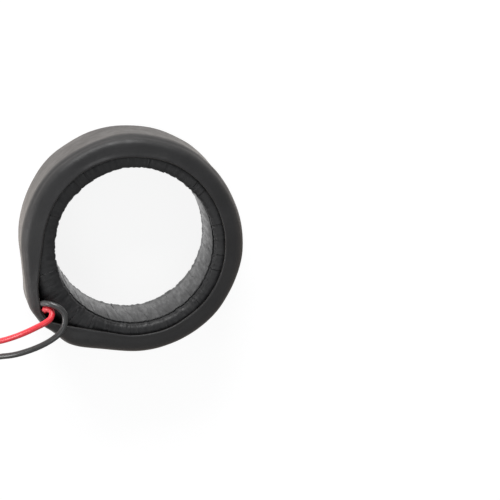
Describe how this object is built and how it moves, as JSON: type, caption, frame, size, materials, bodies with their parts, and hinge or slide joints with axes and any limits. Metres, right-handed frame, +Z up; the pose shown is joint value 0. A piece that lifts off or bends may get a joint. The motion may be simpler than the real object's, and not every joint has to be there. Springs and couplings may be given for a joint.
{
  "type": "window current transformer",
  "caption": "Ring-shaped current transformer: taped toroid in a folded shrink sleeve, with red and black flying leads from a pocket in the sleeve.",
  "frame": {"origin": "on the axis of the bore, in the plane of the face that the ring lies on", "axes": "+Z up along the axis of the bore, out of the face where the leads come up; +X towards the pocket that the leads leave by; red lead on the +Y side"},
  "size_m": [0.1263, 0.0598, 0.0296],
  "materials": {
    "core_steel": "wound electrical steel strip, dull grey",
    "core_tape": "thin yellow polyester tape",
    "winding_wire": "enamelled copper wire, packed in layers",
    "black_tape": "glossy black tape, fine wrinkles across each lap",
    "shrink_sleeve": "charcoal shrink sleeve, soft satin with slow undulations",
    "pad_paper": "stiff insulating paper",
    "splice_tube": "thin shrink tube",
    "solder": "bright solder",
    "tinned_copper": "tinned copper strands",
    "red_insulation": "bright red soft PVC, satin",
    "black_insulation": "black soft PVC, satin"
  },
  "bodies": {
    "root": {"toroidal_core": "core_steel", "core_tape": "core_tape", "secondary_winding": "winding_wire", "tape_wrap": "black_tape", "shrink_sleeve": "shrink_sleeve", "splice_pad": "pad_paper", "winding_start_tail": "winding_wire", "winding_finish_tail": "winding_wire", "red_lead_strands": "tinned_copper", "black_lead_strands": "tinned_copper", "red_solder_joint": "solder", "black_solder_joint": "solder", "red_splice_tube": "splice_tube", "black_splice_tube": "splice_tube", "red_lead": "red_insulation", "black_lead": "black_insulation", "red_lead_coil": "red_insulation", "black_lead_coil": "black_insulation", "red_tinned_tip": "tinned_copper", "black_tinned_tip": "tinned_copper"}
  },
  "joints": []
}
